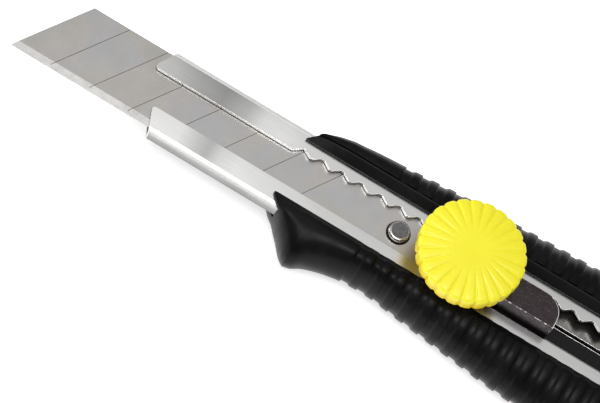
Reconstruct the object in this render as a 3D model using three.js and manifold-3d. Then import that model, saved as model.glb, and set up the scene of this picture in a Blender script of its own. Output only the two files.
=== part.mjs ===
// Snap-off utility knife with a wheel lock, modelled as the assembly it comes apart into.
// Millimetres. +X runs towards the blade tip, +Y towards the cutting edge, +Z up to the wheel.
// The knife lies on its flat back at z = 0, and y = 0 is the middle of the steel channel.
import * as THREE from 'three';
import { mergeVertices } from 'three/addons/utils/BufferGeometryUtils.js';
import Module from 'manifold-3d';

const wasm = await Module();
wasm.setup();

// ---- driving dimensions ------------------------------------------------------------------------
const gap = 0.3;                 // clearance between pieces that touch
const bodyLength = 160;          // front of the channel to the end of the tail cap
const bladeOut = 29;             // blade tip ahead of the channel front, as the knife lies
const bladePlane = 11;           // height of the blade's top face above the back

const bladeWidth = 18;
const bladeLength = 100;
const bladeThick = 0.5;
const bladePitch = 9.65;         // length of one snap-off segment
const bladeSegments = 8;
const firstScore = 9;            // from the tip to the first score line, along the cutting edge
const snapLean = 59;             // degrees between a score line and the cutting edge
const bevelWidth = 1.7;
const edgeFlat = 0.06;
const scoreWidth = 0.16;
const scoreDepth = 0.12;
const bladeSide = 0.3;           // the blade lies this much nearer the spine side
const holeDia = 5.6;
const holeFromTail = 7.7;

const bladeRoom = 0.6;           // side play of the blade in the channel, each side
const sheet = 0.8;
const channelRoom = 2.6;         // clear height between channel floor and lips
const bendRadius = 1.5;
const slotSpine = 4.0;           // lip edge to the middle, spine side
const slotEdge = 4.2;            // lip edge to the middle, cutting-edge side
const edgeSetBack = 4;           // the cutting-edge lip starts this much further back
const noseSlant = 2.6;           // how far the ends of the lips slant back
const grooveHalf = 2.2;          // pressed groove along the channel floor
const grooveDepth = 1;

const toothPitch = 4.86;
const toothDepth = 1.2;
const toothLand = 0.4;           // the tips stand back this much from the plain lip edge
const toothSetBack = 3.2;        // foremost tooth tip behind the front of the handle

const noseLength = 35.8;         // bare channel ahead of the handle
const capLength = 6.7;           // visible length of the tail cap
const handleTop = 3.5;           // top of the handle above the blade plane
const handleWide = 7.2;          // height of the widest line of the flanks
const lipCoverSpine = 2.9;       // the handle reaches this far over the channel's lips
const lipCoverEdge = 3.3;
const railWidth = 2.1;           // smooth hard rail beside the slot, spine side
const coreWall = 1.3;            // core beside the channel
const coreFloor = 2.2;           // underside of the core above the back
const coreSetBack = 4.7;         // core behind the front of the grips
const padHalf = 8.85;            // half width of the soft back pad

const rivetHead = 2.2;           // radii
const rivetShank = 1.3;
const rivetInset = 4.2;          // rivet axis to the outside of the channel
const rivetBehindFront = 10.2;   // foremost rivets behind the front of the handle
const rivetAheadOfTail = 7.3;

const carrierThick = 1.2;
const carrierAhead = 6;          // carrier plate ahead of the pin
const carrierLength = 44.9;
const carrierPlay = 0.4;         // side play of the carrier in the channel
const pinRadius = 2.45;
const pinRise = 1.5;             // pin head above the blade's top face
const pinToWheel = 15.3;

const coverHalf = 3.4;
const coverTop = 6;            // top of the slider cover above the blade plane
const coverBehindWheel = 7.2;
const coverLength = 16.2;
const coverSheet = 1;
const coverCorner = 4.6;         // quarter-round rear corner

const screwPitch = 1;            // travel of the wheel in one turn
const studRadius = 2.4;
const platePlay = 0.6;           // lock plate to the handle, each side
const plateFront = 7.6;          // lock plate ahead of and behind the wheel axis
const plateBack = 6.6;
const plateThick = 1;
const lockToothDrop = 0.8;
const washerRadius = 6;
const washerThick = 0.8;

const wheelRadius = 12.1;
const wheelUnder = 7.45;            // underside of the rim above the blade plane
const wheelTop = 12.5;           // middle of the wheel above the blade plane
const hubRadius = 5.4;
const smoothRadius = 5.2;        // plain middle of the wheel
const fluteCount = 24;
const fluteDepth = 0.55;
const insertRadius = 4;
const insertLength = 4.5;
const insertStep = 0.2;          // the insert stands back this much inside the hub

const capPlug = 8;               // tongue of the tail cap inside the channel
const snapSlot = 1.2;            // slot in the cap that holds a segment while it is snapped

// ---- places that follow from the dimensions ----------------------------------------------------
const channelHalf = bladeWidth / 2 + bladeRoom + sheet;
const openSpine = channelHalf - lipCoverSpine;
const openEdge = channelHalf - lipCoverEdge;
const coreHalf = channelHalf + gap + coreWall;
const carrierSide = channelHalf - sheet - carrierPlay;
const plateHalf = Math.min(openSpine, openEdge) - platePlay;
const channelFront = bodyLength / 2;
const handleFront = channelFront - noseLength;
const firstTooth = handleFront - toothSetBack;
const coreFront = handleFront - coreSetBack;
const tailEnd = -bodyLength / 2;
const handleRear = tailEnd + capLength;
const tipX = channelFront + bladeOut;
const bladeTail = tipX - bladeLength;
const edgeY = bladeWidth / 2 - bladeSide;
const spineY = edgeY - bladeWidth;
const bladeCentreY = (edgeY + spineY) / 2;
const pinX = bladeTail + holeFromTail;
const wheelX = pinX - pinToWheel;
const coverFront = wheelX - coverBehindWheel;
const coverRear = coverFront - coverLength;
const lipUnder = bladePlane + gap;
const lipTop = lipUnder + sheet;
const floorTop = lipUnder - channelRoom;
const floorUnder = floorTop - sheet;
const handleTopZ = bladePlane + handleTop;
const bladeUnder = bladePlane - bladeThick;
const carrierTop = bladeUnder - gap;
const carrierUnder = carrierTop - carrierThick;
const plateUnder = lipTop + gap + screwPitch;
const plateTop = plateUnder + plateThick;
const washerUnder = plateTop + gap;
const hubUnder = washerUnder + washerThick + gap;
const studTop = bladePlane + wheelTop - 3.1;
const farSide = 60;              // larger than anything in the knife

// ---- materials ---------------------------------------------------------------------------------
const metal = (color, roughness) => new THREE.MeshStandardMaterial({ color, roughness, metalness: 1 });
const plastic = (color, roughness) => new THREE.MeshStandardMaterial({ color, roughness, metalness: 0 });
const bladeSteel = metal(0xb9b6b0, 0.35);
const stainless = metal(0xd2d2ce, 0.25);
const blackenedSteel = metal(0x3a3034, 0.4);
const zincSteel = metal(0x9a9c9e, 0.35);
const springSteel = metal(0x6f7276, 0.3);
const brass = metal(0xc9a24a, 0.3);
const hardBlack = plastic(0x191919, 0.45);
const softBlack = plastic(0x222222, 0.7);
const wheelYellow = plastic(0xf5e92f, 0.4);

// ---- solids ------------------------------------------------------------------------------------
function solid(geometry) {
  const bare = geometry.clone();
  bare.deleteAttribute('normal');
  bare.deleteAttribute('uv');
  const merged = mergeVertices(bare, 1e-4);
  const vertProperties = new Float32Array(merged.attributes.position.array);
  const triVerts = new Uint32Array(merged.index.array);
  return new wasm.Manifold(new wasm.Mesh({ numProp: 3, vertProperties, triVerts }));
}

function geometryOf(body) {
  const data = body.getMesh();
  const geometry = new THREE.BufferGeometry();
  geometry.setAttribute('position', new THREE.BufferAttribute(data.vertProperties, 3));
  geometry.setIndex(new THREE.BufferAttribute(data.triVerts, 1));
  return geometry;
}

const outline = (points) => new THREE.Shape(points.map(([a, b]) => new THREE.Vector2(a, b)));

// An outline in X and Y, raised from z = low to z = high.
function slab(points, low, high) {
  const geometry = new THREE.ExtrudeGeometry(outline(points), { depth: high - low, bevelEnabled: false });
  return solid(geometry.translate(0, 0, low));
}

// An outline in Y and Z, drawn out from x = rear to x = front.
function bar(points, rear, front) {
  const geometry = new THREE.ExtrudeGeometry(outline(points), { depth: front - rear, bevelEnabled: false });
  const turn = new THREE.Matrix4().set(0, 0, 1, rear, 1, 0, 0, 0, 0, 1, 0, 0, 0, 0, 0, 1);
  return solid(geometry.applyMatrix4(turn));
}

const box = (x0, x1, y0, y1, z0, z1) => slab([[x0, y0], [x1, y0], [x1, y1], [x0, y1]], z0, z1);

// A profile of radius and height, turned about the vertical line through x and y.
function turned(profile, x, y, steps = 32) {
  const points = profile.map(([r, z]) => new THREE.Vector2(r, z));
  const geometry = new THREE.LatheGeometry(points, steps).rotateX(Math.PI / 2).translate(x, y, 0);
  return outward(geometry);
}

const disc = (radius, low, high, x, y, steps) =>
  turned([[0, low], [radius, low], [radius, high], [0, high]], x, y, steps);

// Turns a closed surface round if its faces point inwards.
function outward(geometry) {
  const bare = geometry.clone();
  bare.deleteAttribute('normal');
  bare.deleteAttribute('uv');
  const merged = mergeVertices(bare, 1e-4);
  const [p, index] = [merged.attributes.position, merged.index.array];
  const [a, b, c] = [new THREE.Vector3(), new THREE.Vector3(), new THREE.Vector3()];
  const kept = [];
  let volume = 0;
  for (let i = 0; i < index.length; i += 3) {
    const [i0, i1, i2] = [index[i], index[i + 1], index[i + 2]];
    if (i0 === i1 || i1 === i2 || i2 === i0) continue;
    kept.push([i0, i1, i2]);
    a.fromBufferAttribute(p, i0);
    b.fromBufferAttribute(p, i1);
    c.fromBufferAttribute(p, i2);
    volume += a.dot(b.cross(c));
  }
  merged.setIndex(kept.flatMap(([i0, i1, i2]) => (volume < 0 ? [i0, i2, i1] : [i0, i1, i2])));
  return solid(merged);
}

// Closed loops of the same number of points joined in order, with a flat face at each end.
function skin(loops, flatten) {
  const count = loops[0].length;
  const index = [];
  for (let k = 0; k < loops.length - 1; k += 1) {
    for (let i = 0; i < count; i += 1) {
      const [here, next] = [k * count + i, k * count + (i + 1) % count];
      index.push(here, next, next + count, here, next + count, here + count);
    }
  }
  const lastLoop = (loops.length - 1) * count;
  const first = loops[0].map(flatten);
  const [nearEnd, farEnd] = THREE.ShapeUtils.isClockWise(first) ? [lastLoop, 0] : [0, lastLoop];
  for (const [a, b, c] of THREE.ShapeUtils.triangulateShape(first, [])) {
    index.push(nearEnd + a, nearEnd + c, nearEnd + b, farEnd + a, farEnd + b, farEnd + c);
  }
  const geometry = new THREE.BufferGeometry();
  geometry.setAttribute('position', new THREE.Float32BufferAttribute(loops.flat(2), 3));
  geometry.setIndex(index);
  return outward(geometry);
}

// Points of a quarter of an oval about (cy, cz), from one angle in degrees to another.
function arc(cy, cz, ry, rz, from, to, steps) {
  return Array.from({ length: steps + 1 }, (_, i) => {
    const t = THREE.MathUtils.degToRad(from + (to - from) * i / steps);
    return [cy + ry * Math.cos(t), cz + rz * Math.sin(t)];
  });
}

// ---- blade -------------------------------------------------------------------------------------
function bladeBody() {
  const middle = bladeUnder + bladeThick / 2;
  const lean = 1 / Math.tan(THREE.MathUtils.degToRad(snapLean));
  const section = [
    [spineY, bladeUnder], [edgeY - bevelWidth, bladeUnder], [edgeY, middle - edgeFlat / 2],
    [edgeY, middle + edgeFlat / 2], [edgeY - bevelWidth, bladePlane], [spineY, bladePlane],
  ];
  const across = (x, y) => x - (edgeY - y) * lean;
  let body = bar(section, bladeTail, tipX);
  const front = [
    [across(tipX, edgeY + 1), edgeY + 1], [tipX + farSide, edgeY + 1],
    [tipX + farSide, spineY - 1], [across(tipX, spineY - 1), spineY - 1],
  ];
  body = body.subtract(slab(front, bladeUnder - 1, bladePlane + 1));
  for (let k = 0; k < bladeSegments - 1; k += 1) {
    const x = tipX - firstScore - k * bladePitch;
    const [top, bottom] = [edgeY + 1, spineY - 1];
    const score = [
      [across(x, top), top], [across(x, bottom), bottom],
      [across(x, bottom) - scoreWidth, bottom], [across(x, top) - scoreWidth, top],
    ];
    body = body.subtract(slab(score, bladePlane - scoreDepth, bladePlane + 1));
  }
  return body.subtract(disc(holeDia / 2, bladeUnder - 1, bladePlane + 1, pinX, bladeCentreY));
}

// ---- channel -----------------------------------------------------------------------------------
// Section of the bent sheet. A negative inset is the sheet's outer face.
function channelSection() {
  const [half, r] = [channelHalf, bendRadius];
  const inner = Math.max(r - sheet, 0.1);
  const outer = [
    ...arc(-half + r, lipTop - r, r, r, 90, 180, 4), ...arc(-half + r, floorUnder + r, r, r, 180, 270, 4),
    [-grooveHalf - sheet, floorUnder], [-grooveHalf, floorUnder - grooveDepth],
    [grooveHalf, floorUnder - grooveDepth], [grooveHalf + sheet, floorUnder],
    ...arc(half - r, floorUnder + r, r, r, -90, 0, 4), ...arc(half - r, lipTop - r, r, r, 0, 90, 4),
  ];
  const inside = [
    [slotEdge, lipTop], [slotEdge, lipUnder],
    ...arc(half - r, lipUnder - inner, inner, inner, 90, 0, 3),
    ...arc(half - r, floorTop + inner, inner, inner, 0, -90, 3),
    [grooveHalf, floorTop], [grooveHalf - sheet / 2, floorTop - grooveDepth],
    [-grooveHalf + sheet / 2, floorTop - grooveDepth], [-grooveHalf, floorTop],
    ...arc(-half + r, floorTop + inner, inner, inner, 270, 180, 3),
    ...arc(-half + r, lipUnder - inner, inner, inner, 180, 90, 3),
    [-slotSpine, lipUnder], [-slotSpine, lipTop],
  ];
  return [...outer, ...inside];
}

// Outline of the toothed edge, from the first tooth to past the end of the channel.
function toothEdge(rear) {
  const [tipY, rootY] = [-slotSpine - toothLand, -slotSpine - toothLand - toothDepth];
  const points = [[firstTooth + toothPitch * 0.95, -slotSpine], [firstTooth + toothPitch / 2, rootY]];
  for (let x = firstTooth; x > rear; x -= toothPitch) {
    points.push([x + 0.35, tipY], [x - 0.35, tipY]);
    points.push([x - toothPitch / 2 + 0.5, rootY], [x - toothPitch / 2 - 0.3, rootY]);
  }
  return points;
}

function channelBody() {
  let body = bar(channelSection(), handleRear, channelFront);
  const teeth = toothEdge(handleRear);
  const last = teeth[teeth.length - 1];
  const cut = [...teeth, [last[0], 0], [teeth[0][0], 0]];
  body = body.subtract(slab(cut, lipUnder - gap, lipTop + 1));
  const [half, edgeFront] = [channelHalf + 1, channelFront - edgeSetBack];
  const nose = [
    [channelFront - noseSlant - 0.5, -half], [channelFront - 0.6, -slotSpine - 2.2],
    [channelFront, -slotSpine - 1.2], [channelFront, -slotSpine - 0.5], [channelFront - 0.5, -slotSpine],
    [edgeFront - 0.5, slotEdge], [edgeFront, slotEdge + 0.5], [edgeFront - 0.4, slotEdge + 1.8],
    [edgeFront - noseSlant, half], [farSide + channelFront, half], [farSide + channelFront, -half],
  ];
  body = body.subtract(slab(nose, floorUnder - farSide, lipTop + 1));
  for (const [x, y] of rivetPlaces) {
    const sunk = turned([
      [0, floorUnder - 1], [rivetShank + gap, floorUnder - 1], [rivetShank + gap, floorUnder + 0.2],
      [rivetHead + gap, floorTop], [rivetHead + gap, floorTop + 1], [0, floorTop + 1],
    ], x, y, 20);
    body = body.subtract(sunk);
  }
  return body;
}
const rivetSide = channelHalf - rivetInset;
const rivetPlaces = [handleFront - rivetBehindFront, handleRear + rivetAheadOfTail]
  .flatMap((x) => [[x, -rivetSide], [x, rivetSide]]);

function rivetBody([x, y]) {
  const end = coreFloor + 0.6;
  return turned([
    [0, end], [rivetShank + 0.7, end], [rivetShank + 0.7, end + 0.9], [rivetShank, end + 0.9],
    [rivetShank, floorUnder + 0.35], [rivetHead, floorTop - 0.1], [0, floorTop - 0.1],
  ], x, y, 20);
}

// ---- handle ------------------------------------------------------------------------------------
// Distance behind the front, reach of the spine flank and of the cutting-edge flank beyond the
// channel, and drop of the top, down to the last rib-free station of the finger guard and beyond.
const frontStations = [
  [0, -2.4, -2.7, 1.6], [1.6, -0.9, -0.7, 1.2], [3, 0.9, 0.6, 0.8], [4.2, 1.8, 2.1, 0.5],
  [6.2, 3.1, 4.4, 0.3], [8.2, 3.8, 6.8, 0.1], [9.5, 4.2, 7.8, 0], [11.2, 4.4, 7.4, 0],
  [13.2, 4.7, 6.1, 0], [15.2, 5.0, 5.3, 0], [18.2, 5.3, 4.4, 0], [22.2, 5.7, 3.7, 0],
  [27.2, 6.2, 3.5, 0], [36.2, 7.1, 4.5, 0], [49.2, 7.9, 6.0, 0], [63.2, 8.6, 7.5, 0],
];
// The same at shares of the palm swell, from the last station above to the first one below.
const palmStations = [[0.35, 9.1, 8.3, 0], [0.72, 8.6, 8.0, 0]];
// The same with the distance ahead of the end of the tail cap.
const tailStations = [[12, 7.3, 6.8, 0], [5, 6.3, 5.8, 0.2], [1.8, 5.2, 4.6, 0.6], [0, 3.8, 3.2, 1.6]];
const palmFront = handleFront - frontStations[frontStations.length - 1][0];
const palmRear = tailEnd + tailStations[0][0];
const handleStations = [
  ...frontStations.map(([x, ...rest]) => [handleFront - x, ...rest]),
  ...palmStations.map(([share, ...rest]) => [palmFront + (palmRear - palmFront) * share, ...rest]),
  ...tailStations.map(([x, ...rest]) => [tailEnd + x, ...rest]),
].map(([x, spine, edge, drop]) => [x, channelHalf + spine, channelHalf + edge, handleTopZ - drop]);
const railRise = 0.5;            // upright inner face of the handle above the lips

// Full outer section of the handle, with a dip to the channel's lips between the two flanks.
function handleLoop([x, spine, edge, top]) {
  const dip = lipTop + gap;
  const flank = (half, inner, side) => {
    const crown = Math.min(inner + 3, half - 0.3);
    const foot = Math.min(6, half / 2);
    const slope = Math.min(inner + 1.7, half - 0.5);
    const start = Math.min(inner, half - 0.8);
    const side1 = arc(crown, handleWide, half - crown, top - handleWide, 90, 0, 5);
    const side2 = arc(half - foot, handleWide, foot, handleWide, 0, -90, 5).slice(1);
    const rise = Math.min(dip + railRise, top - 0.2);
    const points = [[start, dip], [start, rise], [slope, top - 0.1], ...side1, ...side2];
    return points.map(([y, z]) => [x, side * y, z]);
  };
  return [...flank(edge, openEdge, 1), ...flank(spine, openSpine, -1).reverse()];
}

const handleOuter = skin(handleStations.map(handleLoop), ([, y, z]) => new THREE.Vector2(y, z));

// Room for the channel and for the slot above it, from x = rear to x = front.
function channelRoomCut(rear, front) {
  const under = floorUnder - gap;
  const wide = channelHalf + gap;
  const groove = grooveHalf + sheet + gap;
  const pocket = bar([
    [-wide, lipTop + gap], [-wide, under], [-groove, under], [-groove + 0.5, under - grooveDepth],
    [groove - 0.5, under - grooveDepth], [groove, under], [wide, under], [wide, lipTop + gap],
  ], rear, front);
  return pocket.add(box(rear, front, -openSpine, openEdge, floorUnder, bladePlane + farSide));
}

// Section of the hard core, grown all round by a clearance.
function coreBar(grow, rear, front) {
  const [half, low] = [coreHalf + grow, coreFloor - grow];
  const [inner, outer] = [-openSpine + grow, -openSpine - railWidth - grow];
  return bar([
    [-half, low], [half, low], [half, lipTop + grow], [inner, lipTop + grow], [inner, farSide],
    [outer, farSide], [outer, lipTop + gap + 0.8 + grow], [-half, lipTop + gap + 0.8 + grow],
  ], rear, front);
}

const seat = channelRoomCut(-farSide * 2, farSide * 2);
const railFront = box(coreFront - 1, farSide * 2, -farSide, farSide, -farSide, farSide);
const rail = (grow) => box(coreFront - 2, handleFront + 5, -openSpine - railWidth - grow, -openSpine + grow,
  lipTop + gap - grow, farSide);

function coreBody() {
  let body = coreBar(0, handleRear, coreFront).intersect(handleOuter);
  body = body.add(rail(0).intersect(handleOuter)).subtract(seat);
  const pocketTop = floorUnder - gap - grooveDepth - 1.6;
  const [pocketLength, pocketPitch] = [14, 17.5];
  for (let x = coreFront - 16; x - pocketLength > handleRear + 8; x -= pocketPitch) {
    body = body.subtract(box(x - pocketLength, x, -padHalf + 1, padHalf - 1, coreFloor - 1, pocketTop));
  }
  for (const [x, y] of rivetPlaces) {
    body = body.subtract(disc(rivetShank + gap, coreFloor - 1, floorUnder + 1, x, y, 20));
    body = body.subtract(disc(rivetShank + 0.7 + gap, coreFloor - 1, coreFloor + 0.6 + 0.9 + gap, x, y, 20));
  }
  return body;
}

function gripCut() {
  return coreBar(gap, -farSide * 2, coreFront + gap).add(rail(gap)).add(seat);
}

function gripBody(region) {
  const rearCut = box(-farSide * 2, handleRear, -farSide, farSide, -farSide, farSide);
  return handleOuter.intersect(region).subtract(gripCut()).subtract(rearCut);
}

const spineGripBody = () => gripBody(box(-farSide * 2, farSide * 2, -farSide, -padHalf - gap, -1, farSide));
const edgeGripBody = () => gripBody(
  box(-farSide * 2, farSide * 2, padHalf + gap, farSide, -1, farSide)
    .add(box(-farSide * 2, farSide * 2, openEdge, farSide, lipTop, farSide)),
);
const backPadBody = () => gripBody(box(-farSide * 2, farSide * 2, -padHalf, padHalf, -1, bladePlane));

// ---- tail cap ----------------------------------------------------------------------------------
function tailCapBody() {
  const start = handleRear - gap;
  const shell = handleOuter.intersect(box(-farSide * 2, start, -farSide, farSide, -1, farSide));
  const fill = box(tailEnd + 1.5, start, -openSpine, openEdge, floorUnder, lipTop + 0.6);
  const [plugLow, plugHigh] = [floorTop + gap, lipUnder - gap];
  const plug = box(start - 1, handleRear + capPlug, -carrierSide, carrierSide, plugLow, plugHigh);
  const slot = box(tailEnd - 1, tailEnd + capLength - 1.6, -bladeWidth / 2 - 0.8, bladeWidth / 2 + 0.8,
    floorUnder / 2, floorUnder / 2 + snapSlot);
  return shell.add(fill).add(plug).subtract(slot);
}

// ---- slider ------------------------------------------------------------------------------------
function carrierBody() {
  const front = pinX + carrierAhead;
  const corner = 2;
  const plan = [
    [front - carrierLength, -carrierSide], [front - corner, -carrierSide], [front, -carrierSide + corner],
    [front, carrierSide - corner], [front - corner, carrierSide], [front - carrierLength, carrierSide],
  ];
  return slab(plan, carrierUnder, carrierTop)
    .subtract(disc(1.8, carrierUnder - 1, carrierTop + 1, pinX, bladeCentreY))
    .subtract(disc(1.1 + gap, carrierUnder - 1, carrierTop + 1, wheelX, 0, 24));
}

const pinBody = () => turned([
  [0, carrierUnder], [1.5, carrierUnder], [1.5, carrierTop + gap], [pinRadius, carrierTop + gap],
  [pinRadius, bladePlane + pinRise - gap], [pinRadius - gap, bladePlane + pinRise], [0, bladePlane + pinRise],
], pinX, bladeCentreY, 32);

// Pressed cover with an open underside and one rounded rear corner on the spine side.
function coverBody() {
  const shellOutline = (inset) => {
    const [rear, front, half] = [coverRear + inset, coverFront - inset, coverHalf - inset];
    const r = Math.max(coverCorner - inset, 0.5);
    const corner = arc(rear + r, -half + r, r, r, 270, 180, 6);
    return [[front, half], [front, -half], ...corner, [rear, half]];
  };
  const top = bladePlane + coverTop;
  const low = carrierTop + gap;
  return slab(shellOutline(0), low, top).subtract(slab(shellOutline(coverSheet), low - 1, top - coverSheet));
}

const studBody = () => turned([
  [0, carrierUnder - 0.9], [1.4, carrierUnder - 0.9], [1.4, carrierUnder - gap], [1.1, carrierUnder - gap],
  [1.1, carrierTop + gap], [3.2, carrierTop + gap], [3.2, carrierTop + 1.2], [studRadius, carrierTop + 1.2],
  [studRadius, studTop - 0.5], [studRadius - 0.5, studTop], [0, studTop],
], wheelX, 0, 24);

// Wavy ring that lifts the lock plate when the wheel is backed off.
function liftSpringBody() {
  const [inner, outer, strip, waves, steps] = [2.8, 3.5, 0.3, 3, 36];
  const [low, high] = [carrierTop + 1.5, plateUnder - gap];
  const loops = [];
  for (const [r, edge] of [[inner, 0], [outer, 0], [outer, 1], [inner, 1]]) {
    loops.push(Array.from({ length: steps }, (_, i) => {
      const t = i / steps * 2 * Math.PI;
      const middle = (low + high) / 2 + (high - low - strip) / 2 * Math.cos(waves * t);
      return [wheelX + r * Math.cos(t), r * Math.sin(t), middle + (edge - 0.5) * strip];
    }));
  }
  const index = [];
  loops.forEach((_, k) => {
    const [a, b] = [k * steps, (k + 1) % loops.length * steps];
    for (let i = 0; i < steps; i += 1) {
      const j = (i + 1) % steps;
      index.push(a + i, a + j, b + j, a + i, b + j, b + i);
    }
  });
  const geometry = new THREE.BufferGeometry();
  geometry.setAttribute('position', new THREE.Float32BufferAttribute(loops.flat(2), 3));
  geometry.setIndex(index);
  return outward(geometry);
}

function lockPlateBody() {
  const [front, back, half, corner] = [wheelX + plateFront, wheelX - plateBack, plateHalf, 2];
  let body = slab([
    [back, -half], [front - corner, -half], [front, -half + corner], [front, half - corner],
    [front - corner, half], [back, half],
  ], plateUnder, plateTop).subtract(disc(studRadius + gap, plateUnder - 1, plateTop + 1, wheelX, 0));
  const rootY = -slotSpine - toothLand - toothDepth + gap;
  const roots = Math.floor((firstTooth - wheelX) / toothPitch);
  for (const k of [roots - 1, roots]) {
    const x = firstTooth - (k + 0.5) * toothPitch;
    body = body.add(slab([
      [x - 0.25, rootY], [x + 0.25, rootY], [x + 1.1, -slotSpine + 0.1], [x - 1.1, -slotSpine + 0.1],
    ], plateUnder - lockToothDrop, plateUnder + plateThick / 2));
  }
  return body;
}

const washerBody = () => disc(washerRadius, washerUnder, washerUnder + washerThick, wheelX, 0)
  .subtract(disc(studRadius + gap, washerUnder - 1, washerUnder + 2, wheelX, 0));

// ---- wheel -------------------------------------------------------------------------------------
// Rings of the wheel from its underside to its middle: radius, height, share of the flute depth.
function wheelBody() {
  const [under, top] = [bladePlane + wheelUnder, bladePlane + wheelTop];
  const rings = [
    [hubRadius, hubUnder, 0], [hubRadius, under, 0],
    [wheelRadius - 0.9, under, 0.6], [wheelRadius, under + 0.8, 1],
    [wheelRadius, top - 1.9, 1], [wheelRadius - 0.5, top - 1.1, 1], [wheelRadius - 1.5, top - 0.6, 1],
    [wheelRadius - 3.4, top - 0.3, 0.8], [smoothRadius, top, 0],
  ];
  const steps = fluteCount * 4;
  const loops = rings.map(([r, z, share]) => Array.from({ length: steps }, (_, i) => {
    const t = i / steps * 2 * Math.PI;
    const cut = fluteDepth * share * (1 - Math.cos(fluteCount * t)) / 2;
    const onTop = r < wheelRadius && z > under + 1;
    const radius = onTop ? r : r - cut;
    return [wheelX + radius * Math.cos(t), radius * Math.sin(t), onTop ? z - cut * 0.8 : z];
  }));
  const outer = skin(loops, ([x, y]) => new THREE.Vector2(x, y));
  const [insertRoom, studRoom] = [insertRadius + gap, studRadius + gap];
  const [insertEnd, studEnd] = [hubUnder + insertLength + gap + insertStep, studTop + screwPitch + gap];
  const room = turned([
    [0, hubUnder - 1], [insertRoom, hubUnder - 1], [insertRoom, insertEnd],
    [studRoom, insertEnd], [studRoom, studEnd], [0, studEnd],
  ], wheelX, 0);
  return outer.subtract(room);
}

function insertBody() {
  const low = hubUnder + insertStep;
  const bore = disc(studRadius + gap, low - 1, low + insertLength + 1, wheelX, 0, 24);
  return disc(insertRadius, low, low + insertLength, wheelX, 0, 24).subtract(bore);
}

// ---- assembly ----------------------------------------------------------------------------------
const piece = (name, body, material) => {
  const mesh = new THREE.Mesh(geometryOf(body), material);
  mesh.name = name;
  return mesh;
};

const handle = new THREE.Group();
handle.add(
  piece('steel_channel', channelBody(), stainless),
  piece('handle_core', coreBody(), hardBlack),
  piece('spine_grip', spineGripBody(), softBlack),
  piece('edge_grip', edgeGripBody(), softBlack),
  piece('back_pad', backPadBody(), softBlack),
);
rivetPlaces.forEach((place, i) => handle.add(piece(`channel_rivet_${i + 1}`, rivetBody(place), zincSteel)));

const tail = new THREE.Group();
tail.add(piece('tail_cap', tailCapBody(), hardBlack));

const wheel = new THREE.Group();
wheel.add(piece('lock_wheel', wheelBody(), wheelYellow), piece('wheel_insert', insertBody(), brass));

const clamp = new THREE.Group();
clamp.add(
  piece('lock_plate', lockPlateBody(), zincSteel),
  piece('wheel_washer', washerBody(), zincSteel),
  wheel,
);

const slider = new THREE.Group();
slider.add(
  piece('snap_blade', bladeBody(), bladeSteel),
  piece('carrier_plate', carrierBody(), blackenedSteel),
  piece('blade_pin', pinBody(), blackenedSteel),
  piece('slider_cover', coverBody(), blackenedSteel),
  piece('clamp_stud', studBody(), zincSteel),
  piece('lift_spring', liftSpringBody(), springSteel),
  clamp,
);

const knife = new THREE.Group();
knife.add(handle, tail, slider);

export default knife;
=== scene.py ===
import math

import bmesh
import bpy
from mathutils import Matrix, Vector


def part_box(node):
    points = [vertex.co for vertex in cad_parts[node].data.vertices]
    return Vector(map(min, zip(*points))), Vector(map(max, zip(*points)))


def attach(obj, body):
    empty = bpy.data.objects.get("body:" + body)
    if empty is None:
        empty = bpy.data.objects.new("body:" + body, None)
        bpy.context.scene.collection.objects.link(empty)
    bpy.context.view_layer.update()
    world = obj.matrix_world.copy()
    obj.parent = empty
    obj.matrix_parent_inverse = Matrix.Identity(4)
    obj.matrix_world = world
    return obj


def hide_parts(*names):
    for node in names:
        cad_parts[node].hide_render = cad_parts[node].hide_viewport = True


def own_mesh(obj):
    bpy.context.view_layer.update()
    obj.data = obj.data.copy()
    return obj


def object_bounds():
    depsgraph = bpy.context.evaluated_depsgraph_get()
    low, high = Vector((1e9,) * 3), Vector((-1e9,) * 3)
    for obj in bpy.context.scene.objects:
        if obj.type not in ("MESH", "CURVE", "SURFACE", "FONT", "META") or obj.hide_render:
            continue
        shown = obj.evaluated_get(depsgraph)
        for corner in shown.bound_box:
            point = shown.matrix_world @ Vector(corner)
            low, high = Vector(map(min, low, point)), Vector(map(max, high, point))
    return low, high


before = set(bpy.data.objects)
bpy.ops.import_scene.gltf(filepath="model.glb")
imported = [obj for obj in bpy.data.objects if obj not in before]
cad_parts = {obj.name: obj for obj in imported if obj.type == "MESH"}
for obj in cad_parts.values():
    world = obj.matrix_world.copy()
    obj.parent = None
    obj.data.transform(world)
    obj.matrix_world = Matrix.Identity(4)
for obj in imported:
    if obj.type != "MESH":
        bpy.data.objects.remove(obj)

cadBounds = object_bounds()
mm = 0.001
scene = bpy.context.scene
scene.view_settings.view_transform = "Standard"


# Handling of pieces

def leaveEditMode():
    if bpy.context.mode != "OBJECT":
        bpy.ops.object.mode_set(mode="OBJECT")


def pick(piece):
    leaveEditMode()
    bpy.ops.object.select_all(action="DESELECT")
    piece.select_set(True)
    bpy.context.view_layer.objects.active = piece


def editAll(piece):
    pick(piece)
    bpy.ops.object.mode_set(mode="EDIT")
    bpy.ops.mesh.select_all(action="SELECT")


# Selects the faces that a test on their centre and normal accepts, and stays in edit mode.
def selectFaces(piece, test):
    pick(piece)
    bpy.ops.object.mode_set(mode="EDIT")
    bpy.ops.mesh.select_mode(type="FACE")
    bpy.ops.mesh.select_all(action="DESELECT")
    mesh = bmesh.from_edit_mesh(piece.data)
    for face in mesh.faces:
        if test(face.calc_center_median(), face.normal):
            face.select_set(True)
    bmesh.update_edit_mesh(piece.data)


def selectPoints(piece, test):
    pick(piece)
    bpy.ops.object.mode_set(mode="EDIT")
    bpy.ops.mesh.select_mode(type="VERT")
    bpy.ops.mesh.select_all(action="DESELECT")
    mesh = bmesh.from_edit_mesh(piece.data)
    for point in mesh.verts:
        if test(point.co):
            point.select_set(True)
    mesh.select_flush(True)
    bmesh.update_edit_mesh(piece.data)


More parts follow.
